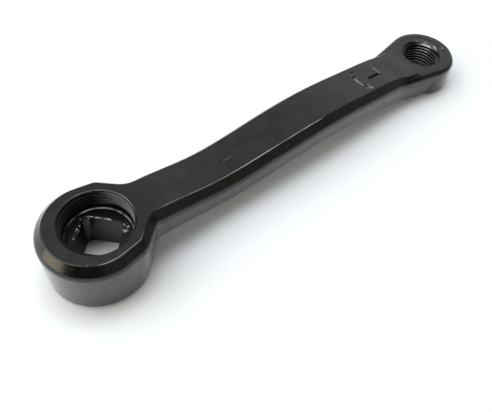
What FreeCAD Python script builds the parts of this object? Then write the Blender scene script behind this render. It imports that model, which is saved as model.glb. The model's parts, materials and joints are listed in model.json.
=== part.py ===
import FreeCAD, Part
import math
import os

# Driving dimensions, in millimetres; heights are measured from the boss's outboard face

# Overall: distance from the spindle axis to the pedal axis
crank_length = 140.0

# Boss: the round end that sits on the spindle, its centre set back a little from the axis
boss_radius = 16.3
boss_setback = 1.6
boss_height = 20.7
shoulder_along = 8.15
shoulder_half_width = 14.85
shoulder_degrees = 41.0
shoulder_rounding = 3.5
faded_shoulder_degrees = 26.0
faded_shoulder_rounding = 14.0
foot_end = 12.5
foot_slope = 1.5
foot_rounding = 1.5
foot_fillet = 3.5

# Arm: half widths of the side walls from the boss to the pedal eye, and its thickness
root_half_width = 8.85
middle_half_width = 9.5
neck_half_width = 9.25
neck_reach = 20.0
arm_thickness = 10.5
root_rounding = 5.0
middle_rounding = 800.0
neck_rounding = 45.0

# Top of the arm: heights along its gentle wave, each at a share of the crank length
dip_share = 0.265
dip_height = -2.5
rise_share = 0.43
rise_height = -1.0
crest_share = 0.60
crest_height = 0.55
fall_share = 0.757
fall_height = -0.6
neck_share = 0.857
neck_height = -2.1
eye_height = -4.3

# Pedal eye: an upright drum that stands a little proud of the arm's sides and underside
eye_radius = 12.25
eye_advance = 0.7
eye_thickness = 10.8
eye_proud = 0.3
eye_rounding = 1.8
eye_foot_chamfer = 0.8
collar_depth = 4.3
collar_reach = 23.5
collar_half_width = 7.6

# Edges: draft of the walls, bevel and roundings of the outboard side, chamfer of the underside
draft_degrees = 3.0
bevel_inset = 2.8
bevel_depth = 3.2
bevel_rounding = 3.0
rim_rounding = 0.4
underside_chamfer = 1.0

# Extractor bore: thread 22 x 1, then a plain recess down to the washer seat
extractor_radius = 11.0
extractor_thread_depth = 6.4
recess_radius = 10.2
recess_chamfer = 0.4
seat_depth = 7.6
rim_chamfer = 0.25

# Square taper socket: two degrees a side, its corners along and across the arm
square_width_at_seat = 12.5
corner_distance_at_seat = 7.75
taper_degrees = 2.0

# Pedal hole: thread 9/16 inch by 20, left-hand, with a faced seat round it
pedal_radius = 7.14
pedal_seat_radius = 9.4
pedal_seat_depth = 0.12

# Side marks: a letter for the left-hand side and an arrow for the way the pedal turns
mark_depth = 0.3
mark_stroke = 0.9
letter_from_eye = 24.7
letter_height = 6.6
letter_width = 4.3
letter_offset = 1.45
arrow_radius = 7.6
arrow_shift = 0.4
arrow_half_span_degrees = 36.0
arrow_head = 2.9
arrow_overlap_degrees = 10.0

# Clearance by which cutting shapes run past the faces they cut
run_past = 5.0

upward = FreeCAD.Vector(0, 0, 1)
spindle_axis = FreeCAD.Vector(0, 0, 0)
pedal_axis = FreeCAD.Vector(crank_length, 0, 0)
boss_centre = FreeCAD.Vector(-boss_setback, 0, 0)
eye_centre = FreeCAD.Vector(crank_length + eye_advance, 0, 0)


# Drawing helpers

def mirrored(point):
    return FreeCAD.Vector(point.x, -point.y, point.z)


def polar(centre, radius, angle):
    return centre + FreeCAD.Vector(math.cos(angle), math.sin(angle), 0) * radius


def tangent_from(point, centre, radius, side):
    """Where a line from the point touches a circle, on its left (side 1) or its right (side -1)."""
    reach = centre - point
    turn = math.asin(radius / reach.Length)
    along = math.sqrt(reach.Length ** 2 - radius ** 2)
    return polar(point, along, math.atan2(reach.y, reach.x) + side * turn)


def rounded_corner(before, corner, after, radius):
    """Start, middle and end of the arc that rounds a corner."""
    towards_before = (before - corner).normalize()
    towards_after = (after - corner).normalize()
    half_angle = towards_before.getAngle(towards_after) / 2
    reach = radius / math.tan(half_angle)
    bisector = (towards_before + towards_after).normalize()
    centre = corner + bisector * (radius / math.sin(half_angle))
    return [corner + towards_before * reach, centre - bisector * radius, corner + towards_after * reach]


def edge_through(points):
    """A line through two points, or an arc through three."""
    if len(points) == 2:
        return Part.makeLine(points[0], points[1])
    return Part.Arc(points[0], points[1], points[2]).toShape()


def turned(points, axis):
    """Solid turned about an upright axis from a closed outline of radius and height pairs."""
    outline = [axis + FreeCAD.Vector(radius, 0, height) for radius, height in points]
    face = Part.Face(Part.makePolygon(outline + outline[:1]))
    return face.revolve(axis, upward, 360)


# Plan outline of the boss and the arm, growing with height by the draft of the walls

def full_shoulder(grow):
    """Corner and rounding of the shoulder where the arm leaves the boss."""
    corner = FreeCAD.Vector(shoulder_along, shoulder_half_width, 0)
    return corner + (corner - boss_centre).normalize() * grow, shoulder_rounding + grow


def faded_shoulder(grow):
    """The same at the foot, where the shoulder fades into the round of the boss."""
    half_turn = math.radians(faded_shoulder_degrees) / 2
    turn = math.pi / 2 - math.radians(shoulder_degrees) + half_turn
    return polar(boss_centre, (boss_radius + grow) / math.cos(half_turn), turn), faded_shoulder_rounding


def half_outline(grow, shoulder_at):
    """The outline's upper half as a chain of lines and arcs, from the boss end to the eye end."""
    round_radius = boss_radius + grow
    end_radius = eye_radius - eye_proud + grow
    shoulder, shoulder_radius = shoulder_at(grow)
    root_side = root_half_width + grow
    root_along = shoulder.x + (shoulder.y - root_side) / math.tan(math.radians(shoulder_degrees))
    root = FreeCAD.Vector(root_along, root_side, 0)
    middle = FreeCAD.Vector(crank_length / 2, middle_half_width + grow, 0)
    neck = FreeCAD.Vector(crank_length - neck_reach, neck_half_width + grow, 0)
    boss_touch = tangent_from(shoulder, boss_centre, round_radius, -1)
    eye_touch = tangent_from(neck, eye_centre, end_radius, 1)
    boss_turn = math.atan2(boss_touch.y - boss_centre.y, boss_touch.x - boss_centre.x)
    eye_turn = math.atan2(eye_touch.y - eye_centre.y, eye_touch.x - eye_centre.x)
    boss_end = polar(boss_centre, round_radius, math.pi)
    boss_middle = polar(boss_centre, round_radius, (math.pi + boss_turn) / 2)
    eye_middle = polar(eye_centre, end_radius, eye_turn / 2)
    eye_end = polar(eye_centre, end_radius, 0)
    corners = [boss_touch, shoulder, root, middle, neck, eye_touch]
    roundings = [shoulder_radius, root_rounding - grow, middle_rounding, neck_rounding - grow]
    chain = [[boss_end, boss_middle, boss_touch]]
    reached = boss_touch
    for place, radius in enumerate(roundings, start=1):
        arc = rounded_corner(corners[place - 1], corners[place], corners[place + 1], radius)
        chain.append([reached, arc[0]])
        chain.append(arc)
        reached = arc[2]
    chain.append([reached, eye_touch])
    chain.append([eye_touch, eye_middle, eye_end])
    return chain


def outline_at(height, shoulder_at):
    grow = (height + bevel_depth) * math.tan(math.radians(draft_degrees))
    upper_half = half_outline(grow, shoulder_at)
    lower_half = [[mirrored(point) for point in reversed(piece)] for piece in reversed(upper_half)]
    wire = Part.Wire([edge_through(piece) for piece in upper_half + lower_half])
    wire.translate(upward * height)
    return wire


lowest_outline = outline_at(-boss_height - run_past, faded_shoulder)
highest_outline = outline_at(crest_height + run_past, full_shoulder)
blank = Part.makeLoft([lowest_outline, highest_outline], True, True)

# Side profile: the wave of the top, the underside following it, and the foot of the boss

wave_start = boss_radius - boss_setback - bevel_inset
wave_end = crank_length - pedal_radius
wave_points = [
    (dip_share * crank_length, dip_height),
    (rise_share * crank_length, rise_height),
    (crest_share * crank_length, crest_height),
    (fall_share * crank_length, fall_height),
    (neck_share * crank_length, neck_height),
]
far_back = -(boss_radius + boss_setback + run_past)
far_ahead = crank_length + eye_advance + eye_radius + run_past
across = boss_radius + run_past


def on_side(along, height):
    return FreeCAD.Vector(along, -across, height)


def wave(start, drop, end):
    """The wave lowered by a drop, level at its start and at its end."""
    level = FreeCAD.Vector(1, 0, 0)
    between = [on_side(along, height - drop) for along, height in wave_points]
    curve = Part.BSplineCurve()
    curve.interpolate(Points=[start] + between + [end], InitialTangent=level, FinalTangent=level)
    return curve.toShape()


root_underside = dip_height / 2 - arm_thickness
end_underside = eye_height - eye_thickness + eye_proud
top_start = on_side(wave_start, 0)
top_end = on_side(wave_end, eye_height)
back_high = on_side(far_back, 0)
back_low = on_side(far_back, -boss_height)
front_high = on_side(far_ahead, eye_height)
front_low = on_side(far_ahead, end_underside)
foot_corner = on_side(foot_end, -boss_height)
inner_corner = on_side(foot_end + foot_slope, root_underside)
under_start = on_side(foot_end + foot_slope + foot_fillet, root_underside)
under_end = on_side(wave_end, end_underside)
foot_arc = rounded_corner(back_low, foot_corner, inner_corner, foot_rounding)
inner_arc = rounded_corner(foot_corner, inner_corner, under_start, foot_fillet)
profile = Part.Wire([
    edge_through([back_low, back_high]),
    edge_through([back_high, top_start]),
    wave(top_start, 0, top_end),
    edge_through([top_end, front_high]),
    edge_through([front_high, front_low]),
    edge_through([front_low, under_end]),
    wave(under_start, arm_thickness, under_end),
    edge_through([under_start, inner_arc[2]]),
    edge_through(inner_arc),
    edge_through([inner_arc[0], foot_arc[2]]),
    edge_through(foot_arc),
    edge_through([foot_arc[0], back_low]),
])
slab = Part.Face(profile).extrude(FreeCAD.Vector(0, 2 * across, 0))
arm = blank.common(slab)


# Edges of the arm: bevel round the outboard side, then the roundings

def slope_of(face):
    """Height of the normal in the middle of a face: 1 facing up, 0 upright, -1 facing down."""
    u_low, u_high, v_low, v_high = face.ParameterRange
    return face.normalAt((u_low + u_high) / 2, (v_low + v_high) / 2).z


def edges_between(shape, one, other):
    """Edges where a face with its slope in one range meets a face with its slope in the other."""
    found = []
    for edge in shape.Edges:
        slopes = [slope_of(face) for face in shape.ancestorsOfType(edge, Part.Face)]
        for first, second in [slopes, slopes[::-1]] if len(slopes) == 2 else []:
            if one[0] < first < one[1] and other[0] < second < other[1]:
                found.append(edge)
                break
    return found


facing_up = (0.8, 1.1)
slanted = (0.2, 0.8)
upright = (-0.1, 0.2)
facing_down = (-1.1, -0.1)

rim = edges_between(arm, facing_up, upright)
first_face = arm.ancestorsOfType(rim[0], Part.Face)[0]
bevel_sizes = [bevel_inset, bevel_depth]
if slope_of(first_face) < facing_up[0]:
    bevel_sizes.reverse()
arm = arm.makeChamfer(bevel_sizes[0], bevel_sizes[1], rim)
arm = arm.makeFillet(bevel_rounding, edges_between(arm, slanted, upright))
arm = arm.makeFillet(rim_rounding, edges_between(arm, facing_up, slanted))
arm = arm.makeChamfer(underside_chamfer, edges_between(arm, facing_down, upright))

# Pedal eye: a drum, and a collar on it whose sides run back into the bevel of the arm

eye_foot = eye_height - eye_thickness
collar_foot = eye_height - collar_depth
drum = turned([
    (0, collar_foot),
    (eye_radius, collar_foot),
    (eye_radius, eye_foot + eye_foot_chamfer),
    (eye_radius - eye_foot_chamfer, eye_foot),
    (0, eye_foot),
], eye_centre)

collar_start = FreeCAD.Vector(crank_length - collar_reach, collar_half_width, 0)
collar_touch = tangent_from(collar_start, eye_centre, eye_radius, 1)
collar_wire = Part.Wire([
    edge_through([mirrored(collar_start), mirrored(collar_touch)]),
    edge_through([mirrored(collar_touch), polar(eye_centre, eye_radius, 0), collar_touch]),
    edge_through([collar_touch, collar_start]),
    edge_through([collar_start, mirrored(collar_start)]),
])
collar = Part.Face(collar_wire).extrude(upward * collar_depth)
collar.translate(upward * collar_foot)
collar_rim = []
for edge in collar.Edges:
    if edge.BoundBox.ZMin > eye_height - eye_rounding and edge.BoundBox.XMax > collar_start.x + eye_rounding:
        collar_rim.append(edge)
collar = collar.makeFillet(eye_rounding, collar_rim)
body = arm.fuse([drum, collar]).removeSplitter()

# Extractor bore and square socket

flare = extractor_radius + rim_chamfer + run_past
bore = turned([
    (0, run_past),
    (flare, run_past),
    (extractor_radius, -rim_chamfer),
    (extractor_radius, -extractor_thread_depth),
    (recess_radius, -extractor_thread_depth),
    (recess_radius, recess_chamfer - seat_depth),
    (recess_radius - recess_chamfer, -seat_depth),
    (0, -seat_depth),
], spindle_axis)


def square_section(depth):
    """Section of the socket at a depth: a square set corner to the arm, its corners cut flat."""
    growth = math.tan(math.radians(taper_degrees)) * (depth - seat_depth)
    half_diagonal = square_width_at_seat / math.sqrt(2) + growth * math.sqrt(2)
    tip = corner_distance_at_seat + growth * math.sqrt(2)
    side = half_diagonal - tip
    corners = []
    for quarter in range(4):
        turn = FreeCAD.Rotation(upward, 90 * quarter)
        corners.append(turn.multVec(FreeCAD.Vector(tip, -side, -depth)))
        corners.append(turn.multVec(FreeCAD.Vector(tip, side, -depth)))
    return Part.makePolygon(corners + corners[:1])


socket_mouth = square_section(seat_depth - recess_chamfer)
socket_end = square_section(boss_height + run_past)
socket = Part.makeLoft([socket_mouth, socket_end], True, True)

# Pedal hole with its faced seat

pedal_flare = pedal_radius + rim_chamfer + run_past
seat_height = eye_height - pedal_seat_depth
pedal_hole = turned([
    (0, seat_height + run_past),
    (pedal_flare, seat_height + run_past),
    (pedal_radius, seat_height - rim_chamfer),
    (pedal_radius, eye_foot + rim_chamfer),
    (pedal_flare, eye_foot - run_past),
    (0, eye_foot - run_past),
], pedal_axis)
seat = Part.makeCylinder(pedal_seat_radius, run_past, pedal_axis + upward * seat_height)

# Side marks, sunk to an even depth below the wave

mark_bottom = -run_past
mark_reach = 2 * run_past


def bar(along, side, length, width):
    return Part.makeBox(length, width, mark_reach, FreeCAD.Vector(along, side, mark_bottom))


def prism(corners):
    return Part.Face(Part.makePolygon(corners + corners[:1])).extrude(upward * mark_reach)


letter_end = crank_length - letter_from_eye
stem = bar(letter_end - letter_height, -letter_offset, letter_height, mark_stroke)
sole = bar(letter_end - mark_stroke, -letter_offset, mark_stroke, letter_width)

arrow_centre = FreeCAD.Vector(letter_end - letter_height / 2 - arrow_shift, 0, mark_bottom)
arrow_span = math.radians(arrow_half_span_degrees)
outer_ring = Part.makeCylinder(arrow_radius + mark_stroke / 2, mark_reach, arrow_centre)
inner_ring = Part.makeCylinder(arrow_radius - mark_stroke / 2, mark_reach, arrow_centre)
wedge_reach = (arrow_radius + mark_stroke) / math.cos(arrow_span)
wedge = prism([
    arrow_centre,
    polar(arrow_centre, wedge_reach, math.pi - arrow_span),
    polar(arrow_centre, wedge_reach, math.pi + arrow_span),
])
shaft = outer_ring.cut(inner_ring).common(wedge)
head_base = math.pi + arrow_span - math.radians(arrow_overlap_degrees)
head = prism([
    polar(arrow_centre, arrow_radius + arrow_head / 2, head_base),
    polar(arrow_centre, arrow_radius - arrow_head / 2, head_base),
    polar(arrow_centre, arrow_radius, head_base + arrow_head / arrow_radius),
])

lowered = slab.copy()
lowered.translate(upward * -mark_depth)
marks = stem.fuse([sole, shaft, head]).cut(lowered)

body = body.cut([bore, socket, pedal_hole, seat, marks])

# The origin lies on the spindle axis, in the plane of the boss's inboard face

body.translate(upward * boss_height)

os.makedirs("parts", exist_ok=True)
body.exportStep("parts/crank_arm.step")
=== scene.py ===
import json
import math

import bpy
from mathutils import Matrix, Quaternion, Vector


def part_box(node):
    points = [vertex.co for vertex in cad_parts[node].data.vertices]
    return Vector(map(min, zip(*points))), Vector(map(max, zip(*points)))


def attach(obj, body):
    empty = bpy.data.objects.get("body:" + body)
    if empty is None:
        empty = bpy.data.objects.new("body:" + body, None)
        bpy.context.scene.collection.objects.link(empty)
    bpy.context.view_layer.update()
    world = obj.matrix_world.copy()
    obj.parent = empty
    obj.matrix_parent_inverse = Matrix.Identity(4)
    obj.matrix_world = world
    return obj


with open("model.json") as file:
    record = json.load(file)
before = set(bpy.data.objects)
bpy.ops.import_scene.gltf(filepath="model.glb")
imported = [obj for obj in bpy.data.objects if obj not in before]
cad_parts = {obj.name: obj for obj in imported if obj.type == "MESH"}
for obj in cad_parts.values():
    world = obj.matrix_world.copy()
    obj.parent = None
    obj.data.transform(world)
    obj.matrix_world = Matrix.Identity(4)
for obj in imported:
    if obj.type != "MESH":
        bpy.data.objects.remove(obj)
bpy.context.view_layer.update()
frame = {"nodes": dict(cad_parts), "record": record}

# Places and sizes from the frame, in metres

millimetre = 0.001
arm = frame["nodes"]["crank_arm"]
mounts = {mount["name"]: mount for mount in frame["record"]["mounts"]}
extractor_mount = mounts["extractor_thread"]
pedal_mount = mounts["pedal_thread"]
box_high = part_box("crank_arm")[1]

# The part lies on the edge of its boss's foot and on the far edge of its eye's foot

foot_edge = 11.4 * millimetre
eye_foot_height = 5.6 * millimetre
eye_foot_inset = 0.8 * millimetre
eye_foot_end = box_high.x - eye_foot_inset
rest_slope = math.atan2(eye_foot_height, eye_foot_end - foot_edge)

# Camera, from the photograph's viewing angle

camera_place = Vector((-35.25, -93.90, 160.02)) * millimetre
camera_aim = Vector((42.71, -14.84, 10.70)) * millimetre
camera_roll_degrees = 7.44
camera_lens = 43.75
sensor_width = 36.0


def make_camera():
    data = bpy.data.cameras.new("camera")
    data.lens = camera_lens
    data.sensor_width = sensor_width
    data.clip_start = 1 * millimetre
    camera = bpy.data.objects.new("camera", data)
    level_turn = (camera_aim - camera_place).to_track_quat("-Z", "Y")
    roll = Quaternion((0, 0, 1), math.radians(camera_roll_degrees))
    camera.location = camera_place
    camera.rotation_mode = "QUATERNION"
    camera.rotation_quaternion = level_turn @ roll
    bpy.context.scene.collection.objects.link(camera)
    bpy.context.scene.camera = camera


# Node trees: short ways to add nodes and link them

class Sheet:
    """A node tree with short ways to add nodes; an input is a socket or a plain value."""

    def __init__(self, tree):
        self.tree = tree
        tree.nodes.clear()

    def add(self, kind, inputs=None, **settings):
        node = self.tree.nodes.new(kind)
        for name, value in settings.items():
            setattr(node, name, value)
        for name, value in (inputs or {}).items():
            self.feed(node.inputs[name], value)
        return node

    def feed(self, socket, value):
        if isinstance(value, bpy.types.NodeSocket):
            self.tree.links.new(value, socket)
        else:
            socket.default_value = value

    def math(self, operation, first, second=0.0):
        return self.add("ShaderNodeMath", {0: first, 1: second}, operation=operation).outputs[0]

    def fold(self, operation, values):
        result = values[0]
        for value in values[1:]:
            result = self.math(operation, result, value)
        return result

    def product(self, *values):
        return self.fold("MULTIPLY", values)

    def total(self, *values):
        return self.fold("ADD", values)

    def largest(self, *values):
        return self.fold("MAXIMUM", values)

    def rest_of(self, share):
        return self.math("SUBTRACT", 1.0, share)

    def band(self, value, low, high, start=0.0, end=1.0):
        """Runs smoothly from start to end as the value goes from low to high."""
        inputs = {"Value": value, "From Min": low, "From Max": high, "To Min": start, "To Max": end}
        node = self.add("ShaderNodeMapRange", inputs, interpolation_type="SMOOTHSTEP")
        return node.outputs["Result"]

    def fade(self, value, low, high):
        """One up to low, falling to nothing at high."""
        return self.band(value, low, high, 1.0, 0.0)

    def between(self, value, low, high, soft):
        """One from low to high, falling to nothing within the soft width on either side."""
        return self.product(self.band(value, low - soft, low), self.fade(value, high, high + soft))

    def vector(self, operation, first, second=(0.0, 0.0, 0.0)):
        node = self.add("ShaderNodeVectorMath", {0: first, 1: second}, operation=operation)
        return node.outputs["Value" if operation in ("DOT_PRODUCT", "LENGTH") else "Vector"]

    def axes(self, vector):
        return self.add("ShaderNodeSeparateXYZ", {"Vector": vector}).outputs

    def facing(self):
        return self.add("ShaderNodeNewGeometry").outputs["Normal"]

    def noise(self, place, scale, detail=2.0, roughness=0.5):
        inputs = {"Vector": place, "Scale": scale, "Detail": detail, "Roughness": roughness}
        return self.add("ShaderNodeTexNoise", inputs).outputs["Fac"]

    def blend(self, share, first, second):
        node = self.add("ShaderNodeMix", data_type="RGBA")
        self.feed(node.inputs["Factor"], share)
        self.feed(node.inputs["A"], first)
        self.feed(node.inputs["B"], second)
        return node.outputs["Result"]

    def bump(self, height):
        inputs = {"Height": height, "Distance": millimetre, "Strength": 1.0}
        return self.add("ShaderNodeBump", inputs).outputs["Normal"]

    def surface(self, inputs):
        shader = self.add("ShaderNodeBsdfPrincipled", inputs)
        self.add("ShaderNodeOutputMaterial", {"Surface": shader.outputs["BSDF"]})


def new_material(name):
    material = bpy.data.materials.new(name)
    material.use_nodes = True
    return material, Sheet(material.node_tree)


def new_group(name, inputs, outputs):
    """A shader node group with named values in and out, as a sheet, its inputs and its outputs."""
    tree = bpy.data.node_groups.new(name, "ShaderNodeTree")
    for socket in inputs:
        tree.interface.new_socket(socket, in_out="INPUT", socket_type="NodeSocketFloat")
    for socket in outputs:
        tree.interface.new_socket(socket, in_out="OUTPUT", socket_type="NodeSocketFloat")
    sheet = Sheet(tree)
    given = sheet.add("NodeGroupInput").outputs
    result = sheet.add("NodeGroupOutput").inputs
    return sheet, given, result


def use_group(sheet, group, **values):
    return sheet.add("ShaderNodeGroup", values, node_tree=group).outputs


def place_in_millimetres(sheet):
    coordinates = sheet.add("ShaderNodeTexCoord").outputs["Object"]
    return sheet.vector("MULTIPLY", coordinates, (1 / millimetre,) * 3)


# Effects that several finishes share, with scales per millimetre

peel_scale = 1.3
wave_scale = 0.11
cloud_scale = 0.16
cloud_range = (0.3, 0.7)
dust_scale = 0.55
speck_edge = (0.03, 0.12)


def make_enamel_skin():
    """Unevenness of sprayed enamel: a fine orange peel, slow waves, and cloudy gloss."""
    sheet, given, result = new_group("enamel_skin", ["Peel", "Waves"], ["Height", "Cloud"])
    place = place_in_millimetres(sheet)
    peel = sheet.product(sheet.noise(place, peel_scale), given["Peel"])
    waves = sheet.product(sheet.noise(place, wave_scale, detail=1.0), given["Waves"])
    cloud = sheet.noise(place, cloud_scale, detail=4.0, roughness=0.6)
    sheet.feed(result["Height"], sheet.total(peel, waves))
    sheet.feed(result["Cloud"], cloud)
    return sheet.tree


def make_dust():
    """Fine specks of dust and chips, sparse and uneven."""
    sheet, given, result = new_group("dust", ["Amount"], ["Speck"])
    place = place_in_millimetres(sheet)
    cells = sheet.add("ShaderNodeTexVoronoi", {"Vector": place, "Scale": dust_scale, "Randomness": 1.0})
    near = sheet.fade(cells.outputs["Distance"], *speck_edge)
    pick = sheet.add("ShaderNodeSeparateColor", {"Color": cells.outputs["Color"]}).outputs["Red"]
    chosen = sheet.math("LESS_THAN", pick, given["Amount"])
    sheet.feed(result["Speck"], sheet.product(near, chosen))
    return sheet.tree


enamel_skin = make_enamel_skin()
dust = make_dust()


# Where the paint is worn or dull, and where highlights are painted: places, heights and widths on the arm in
# millimetres

def mount_place(mount):
    return tuple(value / millimetre for value in mount["pos_m"])


spindle_place = mount_place(extractor_mount)
pedal_place = mount_place(pedal_mount)
pedal_x = pedal_place[0]
seat_height = mount_place(mounts["washer_seat"])[2]
bore_radius = extractor_mount["dims"]["r_mm"]


class Places:
    """Where a point of the arm lies, as sockets of one sheet."""

    def __init__(self, sheet):
        self.sheet = sheet
        self.point = place_in_millimetres(sheet)
        axes = sheet.axes(self.point)
        self.x, self.y, self.z = axes["X"], axes["Y"], axes["Z"]

    def from_axis(self, place):
        """Distance in plan from the upright axis through a place."""
        past = self.sheet.vector("SUBTRACT", self.point, tuple(place))
        return self.sheet.vector("LENGTH", self.sheet.vector("MULTIPLY", past, (1.0, 1.0, 0.0)))

    def from_line(self, start, end):
        """How far along a line in plan a point lies, and how far to the line's left."""
        way = (end - start).normalized()
        past = self.sheet.vector("SUBTRACT", self.point, tuple(start))
        along = self.sheet.vector("DOT_PRODUCT", past, tuple(way))
        return along, self.sheet.vector("DOT_PRODUCT", past, (-way.y, way.x, 0.0))

    def patches(self, scale, cut, least=0.0, detail=2.0):
        """Uneven patches: least where the noise is under the cut, and one where it is over."""
        return self.sheet.band(self.sheet.noise(self.point, scale, detail), *cut, least, 1.0)


# Bare chips round the socket

square_half_width = 6.25
chip_scale = 1.5
chips_height = (seat_height - 0.5, seat_height + 0.2)
far_line_width = (-0.12, 0.12)
far_line_start = (-0.6, 0.0)
far_line_stretch = (3.4, 8.0)
far_line_breaks = (0.44, 0.52)
left_specks_width = (0.1, 0.7)
left_specks_stretch = (-6.5, -1.6)
left_specks_start = (1.5, 3.0)
right_specks_place = (7.3, -1.4, 0.0)
right_specks_reach = (1.0, 2.4)
speck_breaks = (0.58, 0.63)


def socket_chips(sheet, at):
    """A broken line on the socket's far edge, and specks at its left edge and right corner."""
    across = sheet.total(sheet.math("ABSOLUTE", at.x), sheet.math("ABSOLUTE", at.y))
    past_edge = sheet.math("SUBTRACT", sheet.product(across, math.sqrt(0.5)), square_half_width)
    grain = sheet.noise(at.point, chip_scale, detail=3.0, roughness=0.6)
    far_edge = sheet.product(
        sheet.between(past_edge, *far_line_width, soft=0.2),
        sheet.band(at.x, *far_line_start),
        sheet.between(at.y, *far_line_stretch, soft=0.6),
    )
    left_edge = sheet.product(
        sheet.between(past_edge, *left_specks_width, soft=0.4),
        sheet.between(at.x, *left_specks_stretch, soft=0.5),
        sheet.band(at.y, *left_specks_start),
    )
    right_corner = sheet.fade(at.from_axis(right_specks_place), *right_specks_reach)
    line = sheet.product(far_edge, sheet.band(grain, *far_line_breaks))
    specks = sheet.product(sheet.largest(left_edge, right_corner), sheet.band(grain, *speck_breaks))
    return sheet.product(sheet.largest(line, specks), sheet.between(at.z, *chips_height, soft=0.4))


# Bright line where the bore meets the washer's seat

seat_ring_radius = 10.0
seat_ring_edge = (0.10, 0.22)
seat_ring_height = (seat_height + 0.05, seat_height + 0.5)
seat_ring_left = (-8.0, 1.0)
seat_ring_left_share = 0.15
seat_ring_share = 0.6


def seat_ring(sheet, at):
    """A thin ring, uneven, and lost towards the left."""
    off_ring = sheet.math("SUBTRACT", at.from_axis(spindle_place), seat_ring_radius)
    return sheet.product(
        sheet.fade(sheet.math("ABSOLUTE", off_ring), *seat_ring_edge),
        sheet.between(at.z, *seat_ring_height, soft=0.1),
        sheet.band(at.x, *seat_ring_left, seat_ring_left_share, 1.0),
        at.patches(scale=0.3, cut=(0.3, 0.6)),
        seat_ring_share,
    )


# Painted glints on the pedal eye: bare metal where highlights show

eye_face_height = (15.6, 15.9)
eye_rim_radii = (7.0, 7.5)
eye_rim_right = (pedal_x + 2.5, pedal_x + 5.0)
eye_rim_far = (-3.0, -1.0)
eye_rim_share = 0.45
inner_glint_place = (pedal_x + 7.5, -0.2, 0.0)
outer_glint_place = (pedal_x + 9.3, -2.6, 0.0)
glint_edge = (0.2, 0.7)
glint_share = 0.3


def eye_glints(sheet, at):
    """Painted highlights: part of the rim of the pedal hole, and two bright spots to its right."""
    rim = sheet.product(
        sheet.between(at.from_axis(pedal_place), *eye_rim_radii, soft=0.15),
        sheet.band(at.x, *eye_rim_right),
        sheet.band(at.y, *eye_rim_far),
        at.patches(scale=0.8, cut=(0.42, 0.6)),
        eye_rim_share,
    )
    inner_glint = sheet.fade(at.from_axis(inner_glint_place), *glint_edge)
    outer_glint = sheet.fade(at.from_axis(outer_glint_place), *glint_edge)
    glints = sheet.product(sheet.largest(inner_glint, outer_glint), glint_share)
    return sheet.product(sheet.largest(rim, glints), sheet.band(at.z, *eye_face_height))


# Faint scratch on the outboard face

scratch_start = Vector((43.15, -1.17, 0))
scratch_end = Vector((47.39, -0.97, 0))
scratch_taper = 0.8
scratch_width = (-0.05, 0.05)
scratch_height = (17.0, 17.5)
scratch_share = 0.22


def arm_scratch(sheet, at):
    length = (scratch_end - scratch_start).length
    along, aside = at.from_line(scratch_start, scratch_end)
    return sheet.product(
        sheet.between(along, scratch_taper, length - scratch_taper, soft=scratch_taper),
        sheet.between(aside, *scratch_width, soft=0.13),
        sheet.band(at.z, *scratch_height),
    )


# Painted highlight: a pale line on the near rim of the outboard face and on the far rim of the bore, where
# light catches the rims

rim_facing_up = (0.78, 0.94)
rim_facing_near = (-0.32, -0.18)
rim_height = (15.5, 16.5)
boss_rim = (-5.0, 7.0)
boss_rim_share = 0.55
arm_rim = (19.0, 78.0)
arm_rim_growth = (36.0, 52.0)
arm_rim_root_share = 0.45
mouth_radii = (bore_radius - 0.05, bore_radius + 0.2)
mouth_height = (20.4, 20.5)
mouth_far = (-6.0, 2.0)
mouth_right = (-9.0, -3.0)
mouth_share = 0.35


# Pale paint that stands in for the light reflected along these rims
def painted_rim_highlight(sheet, at):
    facing = sheet.axes(sheet.facing())
    on_boss = sheet.product(sheet.between(at.x, *boss_rim, soft=3.0), boss_rim_share)
    on_arm = sheet.product(
        sheet.between(at.x, *arm_rim, soft=4.0),
        sheet.band(at.x, *arm_rim_growth, arm_rim_root_share, 1.0),
    )
    rim = sheet.product(
        sheet.between(facing["Z"], *rim_facing_up, soft=0.04),
        sheet.fade(facing["Y"], *rim_facing_near),
        sheet.largest(on_boss, on_arm),
        sheet.band(at.z, *rim_height),
    )
    mouth = sheet.product(
        sheet.between(at.from_axis(spindle_place), *mouth_radii, soft=0.1),
        sheet.band(at.z, *mouth_height),
        sheet.band(at.y, *mouth_far),
        sheet.band(at.x, *mouth_right),
        mouth_share,
    )
    broken = at.patches(scale=0.25, cut=(0.3, 0.6), least=0.6, detail=3.0)
    return sheet.product(sheet.largest(rim, mouth), broken)


# The arrow and the letter: painted highlights where their edges catch the light, and dull paint

marks_height = (12.0, 12.5)
marks_share = 0.9
stroke = 0.9
arrow_centre = Vector((pedal_x - 28.4, 0, 0))
arrow_radius = 7.6
arrow_curve_width = (-0.35, 0.2)
arrow_curve_end = (arrow_centre.x - 5.1, arrow_centre.x - 4.6)
head_left = arrow_centre + Vector((-8.1, -3.95, 0))
head_right = arrow_centre + Vector((-5.55, -2.7, 0))
head_tip = arrow_centre + Vector((-5.1, -5.65, 0))
pale_curve = (-2.8, 1.6)
pale_curve_top = (3.5, 4.1)
pale_curve_top_share = 0.6
pale_low_edge = (1.0, 3.1)
pale_low_edge_width = (-0.05, 0.45)
pale_right_edge = (0.4, 2.6)
pale_right_edge_width = (-0.05, 0.4)
pale_right_edge_share = 0.7
dull_curve = (2.0, 4.8)
dull_head_place = arrow_centre + Vector((-6.3, -3.3, 0))
dull_head_edge = (0.5, 0.9)
letter_foot = arrow_centre.x + 3.7
letter_height = 6.6
letter_side = -1.45
letter_width = 4.3
pale_foot = (letter_foot - stroke / 2 - 0.35, letter_foot - stroke / 2 + 0.35)
pale_foot_width = (letter_side + stroke, letter_side + letter_width - 0.2)
dull_stem = (letter_foot - letter_height, letter_foot - stroke)
dull_stem_width = (letter_side - 0.1, letter_side + stroke + 0.1)


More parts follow.
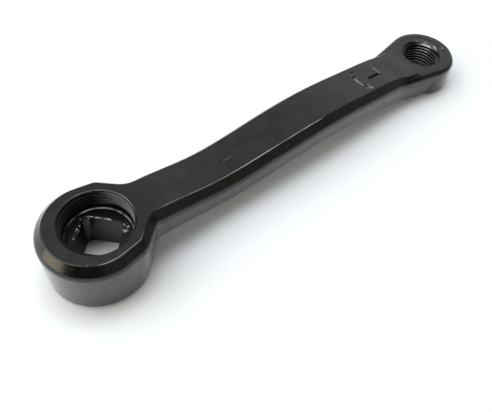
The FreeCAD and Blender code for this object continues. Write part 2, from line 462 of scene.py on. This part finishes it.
def arrow_curve(sheet, at):
    """The arrow's round stroke, up to its head."""
    off_curve = sheet.math("SUBTRACT", at.from_axis(arrow_centre), arrow_radius)
    return sheet.product(
        sheet.between(off_curve, *arrow_curve_width, soft=0.2),
        sheet.fade(at.x, *arrow_curve_end),
    )


def mark_shine(sheet, at):
    """Painted highlights: pale paint in the arrow's curve and head and in the letter's foot, where their
    edges catch the light.
    """
    curve_top = sheet.product(sheet.between(at.y, *pale_curve_top, soft=0.3), pale_curve_top_share)
    curve_stretch = sheet.largest(sheet.between(at.y, *pale_curve, soft=0.6), curve_top)
    curve = sheet.product(arrow_curve(sheet, at), curve_stretch)
    along_low, inside_low = at.from_line(head_left, head_tip)
    low_edge = sheet.product(
        sheet.between(along_low, *pale_low_edge, soft=0.4),
        sheet.between(inside_low, *pale_low_edge_width, soft=0.15),
    )
    along_right, inside_right = at.from_line(head_tip, head_right)
    right_edge = sheet.product(
        sheet.between(along_right, *pale_right_edge, soft=0.4),
        sheet.between(inside_right, *pale_right_edge_width, soft=0.15),
        pale_right_edge_share,
    )
    foot = sheet.product(
        sheet.between(at.x, *pale_foot, soft=0.2),
        sheet.between(at.y, *pale_foot_width, soft=0.3),
    )
    return sheet.product(
        sheet.largest(curve, low_edge, right_edge, foot),
        at.patches(scale=0.9, cut=(0.3, 0.6), least=0.35),
        sheet.band(at.z, *marks_height),
        marks_share,
    )


def mark_shade(sheet, at):
    """Dull paint in the letter's stem, in the arrow's upper end and behind its head."""
    stem = sheet.product(
        sheet.between(at.x, *dull_stem, soft=0.3),
        sheet.between(at.y, *dull_stem_width, soft=0.25),
    )
    upper_end = sheet.product(arrow_curve(sheet, at), sheet.between(at.y, *dull_curve, soft=0.4))
    behind_head = sheet.fade(at.from_axis(dull_head_place), *dull_head_edge)
    shade = sheet.largest(stem, upper_end, behind_head)
    return sheet.product(shade, sheet.band(at.z, *marks_height), marks_share)


# Dull paint in the bore, on the boss's shoulder and in the crease before the eye

bore_edge = (bore_radius - 0.02, bore_radius + 0.1)
bore_top = (20.2, 20.5)
bore_dullness = 0.75
socket_top = (seat_height - 0.5, seat_height - 0.1)
socket_middle = (-2.0, 0.5)
socket_left_dullness = 0.95
socket_right_dullness = 0.1
shoulder_facing = Vector((0.52, -0.59, 0.62)).normalized()
shoulder_spread = (0.93, 0.985)
shoulder_height = (15.0, 16.5)
shoulder_stretch = (4.0, 16.0)
shoulder_dullness = 0.8
crease_stretch = (pedal_x - 18.0, pedal_x - 11.5)
crease_side = (-9.5, -7.2)
crease_height = (15.4, 15.9)
crease_dullness = 0.75


def bore_shade(sheet, at):
    """Dull in the bore and on the left of the socket, glossier on the socket's far walls."""
    inside = sheet.product(
        sheet.fade(at.from_axis(spindle_place), *bore_edge),
        sheet.fade(at.z, *bore_top),
    )
    in_socket = sheet.fade(at.z, *socket_top)
    socket_dullness = sheet.band(at.x, *socket_middle, socket_left_dullness, socket_right_dullness)
    change = sheet.math("SUBTRACT", socket_dullness, bore_dullness)
    return sheet.product(inside, sheet.total(bore_dullness, sheet.product(in_socket, change)))


def shoulder_shade(sheet, at):
    """Dull on the bevel where the boss runs into the arm."""
    toward = sheet.vector("DOT_PRODUCT", sheet.facing(), tuple(shoulder_facing))
    return sheet.product(
        sheet.band(toward, *shoulder_spread),
        sheet.band(at.z, *shoulder_height),
        sheet.between(at.x, *shoulder_stretch, soft=4.0),
        shoulder_dullness,
    )


def crease_shade(sheet, at):
    """Dull in the crease where the arm's near bevel runs out on the eye."""
    return sheet.product(
        sheet.between(at.x, *crease_stretch, soft=2.5),
        sheet.between(at.y, *crease_side, soft=0.7),
        sheet.band(at.z, *crease_height),
        crease_dullness,
    )


# Black enamel of the arm

enamel_dark = (0.0020, 0.0019, 0.0016, 1)
enamel_light = (0.0045, 0.0043, 0.0037, 1)
rubbed_enamel_and_highlight = (0.36, 0.36, 0.355, 1)
bare_steel_and_glint = (0.62, 0.61, 0.60, 1)
arm_dust_share = 0.4
chip_depth = 0.03
scratch_depth = 0.02
faced_ring_radius = 9.4
faced_ring_height = (16.0, 16.1)
tool_groove_pitch = 0.35
tool_groove_depth = 0.006
enamel_roughness = (0.24, 0.38)
worn_roughness = 0.55
thinnest_coat = 0.84
coat_cloud_range = (0.35, 0.65)


def make_black_enamel():
    """Glossy black, worn where tools and the spindle touch it and turned on the eye's faced ring, with
    painted highlights on its near rims, in its marks and on the pedal eye.
    """
    material, sheet = new_material("black_enamel")
    at = Places(sheet)
    skin = use_group(sheet, enamel_skin, Peel=0.0015, Waves=0.05)
    specks = use_group(sheet, dust, Amount=0.10)["Speck"]
    chips = socket_chips(sheet, at)
    scratch = arm_scratch(sheet, at)
    # Bare metal: real chips, the bright seat ring, and painted glints on the pedal eye
    bare = sheet.largest(chips, seat_ring(sheet, at), eye_glints(sheet, at))
    # Pale paint: a real scratch and dust, and painted highlights in the marks and along the rims
    pale = sheet.largest(
        sheet.product(scratch, scratch_share),
        sheet.product(specks, arm_dust_share),
        mark_shine(sheet, at),
        painted_rim_highlight(sheet, at),
    )
    dull = sheet.largest(
        bore_shade(sheet, at),
        mark_shade(sheet, at),
        shoulder_shade(sheet, at),
        crease_shade(sheet, at),
    )

    paint = sheet.blend(skin["Cloud"], enamel_dark, enamel_light)
    paint = sheet.blend(pale, paint, rubbed_enamel_and_highlight)
    colour = sheet.blend(bare, paint, bare_steel_and_glint)

    from_pedal = at.from_axis(pedal_place)
    faced = sheet.product(
        sheet.fade(from_pedal, faced_ring_radius - 0.1, faced_ring_radius),
        sheet.band(at.z, *faced_ring_height),
    )
    grooves = sheet.math("SINE", sheet.product(from_pedal, 2 * math.pi / tool_groove_pitch))
    height = sheet.total(
        skin["Height"],
        sheet.product(grooves, faced, tool_groove_depth),
        sheet.product(chips, -chip_depth),
        sheet.product(scratch, -scratch_depth),
    )
    sound_roughness = sheet.band(skin["Cloud"], *cloud_range, *enamel_roughness)
    sound_coat = sheet.band(skin["Cloud"], *coat_cloud_range, thinnest_coat, 1.0)
    sheet.surface({
        "Base Color": colour,
        "Metallic": bare,
        "Roughness": sheet.largest(sound_roughness, sheet.product(sheet.largest(pale, dull), worn_roughness)),
        "Specular IOR Level": 0.08,
        "Coat Weight": sheet.product(sheet.rest_of(sheet.largest(bare, pale, dull)), sound_coat),
        "Coat Roughness": 0.10,
        "Normal": sheet.bump(height),
    })
    return material


# Threads: closed ridges that wind up the walls of the two bores

extractor_pitch = 1.0 * millimetre
pedal_pitch = 1.27 * millimetre
turn_steps = 96
base_share = 0.4375
crest_share = 0.125
depth_share = 0.54
wall_overlap = 0.05 * millimetre
crest_softness = 0.06 * millimetre
least_softened_degrees = 30
run_out_turns = 0.15
run_out_fullness = 0.02
thread_enamel_dark = (0.002, 0.002, 0.0024, 1)
thread_enamel_light = (0.005, 0.005, 0.0056, 1)
thread_dust = (0.15, 0.15, 0.14, 1)
rubbed_and_sheen_crest = (0.51, 0.525, 0.55, 1)
crest_edge = (0.05, 0.2)

# Where the crests are worn bare, and where highlights are painted on them: shares of the thread's radius, and
# heights from its middle in millimetres

rubbed_and_sheen_side = (0.3, 0.9)
glint_patch_side = (0.6, 1.0)
glint_patch_reach = (0.2, 0.55)
glint_patch_rise = (-2.0, 4.0)
glint_patch_low_share = 0.3


def make_thread_enamel(name, mount, pitch, coat_share, roughness, rubbed_and_sheen, glint_patch_share):
    """Thin enamel, its crests worn bare, most towards the right and in one bright patch; the extra bare metal
    on the right and the patch are painted highlights.
    """
    material, sheet = new_material(name)
    at = Places(sheet)
    skin = use_group(sheet, enamel_skin, Peel=0.003, Waves=0.0)
    specks = use_group(sheet, dust, Amount=0.05)["Speck"]
    axis = Vector(mount_place(mount))
    radius = mount["dims"]["r_mm"]
    crest_radius = radius - pitch / millimetre * depth_share
    past_crest = sheet.math("SUBTRACT", at.from_axis(axis), crest_radius)
    right_share = sheet.product(sheet.math("SUBTRACT", at.x, axis.x), 1 / radius)
    far_share = sheet.product(sheet.math("SUBTRACT", at.y, axis.y), 1 / radius)
    # A bright patch of bare crest: a painted highlight
    patch = sheet.product(
        sheet.between(right_share, *glint_patch_side, soft=0.15),
        sheet.between(far_share, *glint_patch_reach, soft=0.25),
        sheet.band(sheet.math("SUBTRACT", at.z, axis.z), *glint_patch_rise, glint_patch_low_share, 1.0),
        glint_patch_share,
    )
    bare = sheet.product(
        sheet.fade(past_crest, *crest_edge),
        sheet.largest(sheet.band(right_share, *rubbed_and_sheen_side, *rubbed_and_sheen), patch),
        at.patches(scale=0.3, cut=(0.2, 0.7), least=0.6),
    )
    paint = sheet.blend(skin["Cloud"], thread_enamel_dark, thread_enamel_light)
    paint = sheet.blend(specks, paint, thread_dust)
    sheet.surface({
        "Base Color": sheet.blend(bare, paint, rubbed_and_sheen_crest),
        "Metallic": bare,
        "Roughness": sheet.band(skin["Cloud"], *cloud_range, *roughness),
        "Specular IOR Level": 0.15,
        "Coat Weight": sheet.product(sheet.rest_of(bare), coat_share),
        "Coat Roughness": 0.08,
        "Normal": sheet.bump(skin["Height"]),
    })
    return material


def make_thread(name, mount, pitch, hand, material):
    """A ridge from the wall's low end to its high end; hand is 1 for right-hand, -1 for left-hand."""
    wall_radius = mount["dims"]["r_mm"] * millimetre
    wall_length = mount["dims"]["length_mm"] * millimetre
    outer_radius = wall_radius + wall_overlap
    axis = Vector(mount["pos_m"])
    low = axis.z - wall_length / 2 + pitch * base_share
    turns = (wall_length - 2 * pitch * base_share) / pitch
    steps = round(turns * turn_steps)
    vertices = []
    for step in range(steps + 1):
        turn = turns * step / steps
        angle = hand * 2 * math.pi * turn
        fullness = min(1, turn / run_out_turns, (turns - turn) / run_out_turns)
        crest_radius = wall_radius - pitch * depth_share * max(fullness, run_out_fullness)
        section = [
            (outer_radius, -base_share * pitch),
            (crest_radius, -crest_share * pitch),
            (crest_radius, crest_share * pitch),
            (outer_radius, base_share * pitch),
        ]
        for radius, rise in section:
            x = axis.x + radius * math.cos(angle)
            y = axis.y + radius * math.sin(angle)
            vertices.append((x, y, low + turn * pitch + rise))

    corners = len(section)
    faces = []
    for step in range(steps):
        for corner in range(corners):
            here = step * corners + corner
            beside = step * corners + (corner + 1) % corners
            faces.append([here, beside, beside + corners, here + corners])
    first_end = list(range(corners))
    last_end = [steps * corners + corner for corner in range(corners)]
    faces += [first_end[::-1], last_end]
    if hand < 0:
        faces = [face[::-1] for face in faces]

    mesh = bpy.data.meshes.new(name)
    mesh.from_pydata(vertices, [], faces)
    mesh.materials.append(material)
    ridge = bpy.data.objects.new(name, mesh)
    bpy.context.scene.collection.objects.link(ridge)
    soften = ridge.modifiers.new("soft_crest", "BEVEL")
    soften.width = crest_softness
    soften.segments = 2
    soften.limit_method = "ANGLE"
    soften.angle_limit = math.radians(least_softened_degrees)
    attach(ridge, "root")


# Floor

floor_half_size = 3.0
floor_dark = (0.875, 0.915, 0.945, 1)
floor_light = (0.905, 0.94, 0.965, 1)
floor_mottle_scale = 9.0


def make_floor():
    corners = [(-1, -1), (1, -1), (1, 1), (-1, 1)]
    mesh = bpy.data.meshes.new("floor")
    mesh.from_pydata([(x * floor_half_size, y * floor_half_size, 0) for x, y in corners], [], [(0, 1, 2, 3)])
    floor = bpy.data.objects.new("floor", mesh)
    floor.location = (foot_edge, 0, 0)
    floor.rotation_euler = (0, -rest_slope, 0)
    material, sheet = new_material("pale_floor")
    place = sheet.add("ShaderNodeTexCoord").outputs["Object"]
    mottle = sheet.noise(place, floor_mottle_scale, detail=3.0)
    sheet.surface({
        "Base Color": sheet.blend(mottle, floor_dark, floor_light),
        "Roughness": 0.6,
        "Specular IOR Level": 0.2,
    })
    mesh.materials.append(material)
    bpy.context.scene.collection.objects.link(floor)


# Lamps, each in its own direction from the arm

lamp_aim = Vector((0.06, 0, 0))
window_way = Vector((-0.42, 0.36, 0.83))
window_distance = 0.9
window_size = 0.88
window_watts = 3.9
window_colour = (1.0, 0.99, 0.97)
ceiling_way = Vector((0.11, 0.12, 0.985))
ceiling_distance = 0.85
ceiling_size = 0.36
ceiling_watts = 2.0
ceiling_colour = (0.95, 0.985, 1.0)
fill_way = Vector((-0.85, -0.28, 0.45))
fill_distance = 0.9
fill_size = 0.5
fill_watts = 0.55
fill_colour = (1.0, 0.95, 0.91)


def make_lamp(name, way, distance, size, watts, colour, mirrored=True):
    """A soft round lamp, seen in glossy paint or not."""
    data = bpy.data.lights.new(name, "AREA")
    data.shape = "DISK"
    data.size = size
    data.energy = watts
    data.color = colour
    lamp = bpy.data.objects.new(name, data)
    lamp.location = lamp_aim + way.normalized() * distance
    lamp.visible_glossy = mirrored
    lamp.rotation_mode = "QUATERNION"
    lamp.rotation_quaternion = (-way).to_track_quat("-Z", "Y")
    bpy.context.scene.collection.objects.link(lamp)


# Surroundings: colours, directions, and how far each spreads round its direction or over the sky's rise

low_sky_colour = (0.33, 0.335, 0.315, 1)
middle_sky_colour = (0.81, 0.82, 0.78, 1)
middle_sky_rise = (0.08, 0.54)
high_sky_colour = (0.65, 0.655, 0.69, 1)
high_sky_rise = (0.55, 0.80)
front_way = Vector((0.15, -0.99, 0))
front_spread = (0.0, 0.5)
front_colour = (0.25, 0.24, 0.215, 1)
front_top_rise = (0.74, 0.82)
dark_way = Vector((-0.70, -0.68, 0.22)).normalized()
dark_spread = (0.82, 0.96)
dark_colour = (0.02, 0.019, 0.016, 1)
strip_way = Vector((-0.35, -0.94, 0))
strip_spread = (0.45, 0.65)
strip_rise = (0.56, 0.68)
strip_colour = (1.2, 1.08, 1.0, 1)
warm_way = Vector((-0.95, 0.26, 0.09)).normalized()
warm_spread = (0.88, 0.99)
warm_colour = (3.5, 3.15, 2.3, 1)


def make_surroundings():
    """A grey room, dark before the arm but for a pale strip, and warm low on the left."""
    world = bpy.data.worlds.new("surroundings")
    world.use_nodes = True
    bpy.context.scene.world = world
    sheet = Sheet(world.node_tree)
    way = sheet.add("ShaderNodeTexCoord").outputs["Generated"]
    rise = sheet.axes(way)["Z"]

    def towards(direction, spread):
        return sheet.band(sheet.vector("DOT_PRODUCT", way, tuple(direction)), *spread)

    front = towards(front_way, front_spread)
    front_top = sheet.product(front, sheet.band(rise, *front_top_rise))
    strip = sheet.product(towards(strip_way, strip_spread), sheet.between(rise, *strip_rise, soft=0.10))
    colour = sheet.blend(sheet.band(rise, *middle_sky_rise), low_sky_colour, middle_sky_colour)
    colour = sheet.blend(sheet.band(rise, *high_sky_rise), colour, high_sky_colour)
    colour = sheet.blend(front, colour, front_colour)
    colour = sheet.blend(sheet.largest(towards(dark_way, dark_spread), front_top), colour, dark_colour)
    colour = sheet.blend(strip, colour, strip_colour)
    colour = sheet.blend(towards(warm_way, warm_spread), colour, warm_colour)
    background = sheet.add("ShaderNodeBackground", {"Color": colour, "Strength": 1.0})
    sheet.add("ShaderNodeOutputWorld", {"Surface": background.outputs["Background"]})


# The whole scene

make_camera()
arm.data.materials.clear()
arm.data.materials.append(make_black_enamel())
# The thread finishes paint highlights: more bare crest on the lit right side, and a bright patch on the pedal
# thread
extractor_enamel = make_thread_enamel(
    "extractor_thread_enamel", extractor_mount, extractor_pitch,
    coat_share=0.15, roughness=(0.28, 0.40), rubbed_and_sheen=(0.01, 0.34), glint_patch_share=0.0,
)
pedal_enamel = make_thread_enamel(
    "pedal_thread_enamel", pedal_mount, pedal_pitch,
    coat_share=0.7, roughness=(0.18, 0.28), rubbed_and_sheen=(0.03, 0.16), glint_patch_share=1.0,
)
make_thread("extractor_thread", extractor_mount, extractor_pitch, 1, extractor_enamel)
make_thread("pedal_thread", pedal_mount, pedal_pitch, -1, pedal_enamel)
make_floor()
make_lamp("window", window_way, window_distance, window_size, window_watts, window_colour)
make_lamp("ceiling", ceiling_way, ceiling_distance, ceiling_size, ceiling_watts, ceiling_colour)
make_lamp("fill", fill_way, fill_distance, fill_size, fill_watts, fill_colour, mirrored=False)
make_surroundings()
bpy.context.scene.view_settings.view_transform = "Standard"
